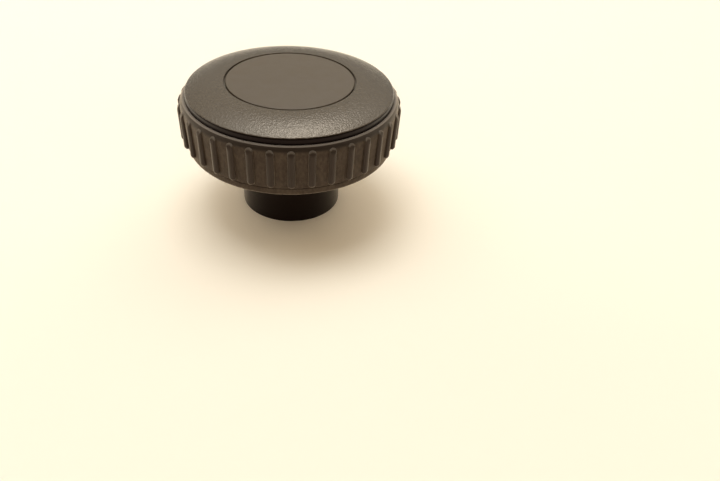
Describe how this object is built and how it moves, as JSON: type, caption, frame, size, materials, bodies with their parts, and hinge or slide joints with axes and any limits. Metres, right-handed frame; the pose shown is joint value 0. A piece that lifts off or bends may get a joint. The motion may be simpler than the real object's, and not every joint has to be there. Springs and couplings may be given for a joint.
{
  "type": "knurled knob",
  "caption": "Round control knob with a soft ribbed grip ring, a flush centre cap and a threaded metal bush in a plain round hub.",
  "frame": {"origin": "middle of the end face of the hub, which the knob stands on", "axes": "+Z along the knob's axis, from the hub's end to the top face; -Y is the side that the picture looks at"},
  "size_m": [0.05, 0.05, 0.0305],
  "materials": {
    "body_plastic": "black glass-filled polyamide; the crowned top face fine spark-eroded grain, the hub and the flange's side smooth satin",
    "grip_rubber": "soft matt elastomer, very dark warm grey, moulded over the rim",
    "cap_plastic": "matt black plastic disc with a very fine even grain",
    "bush_brass": "turned brass, bright, with a cut thread"
  },
  "bodies": {
    "root": {"body": "body_plastic", "grip_ring": "grip_rubber", "centre_cap": "cap_plastic", "bush": "bush_brass"}
  },
  "joints": []
}
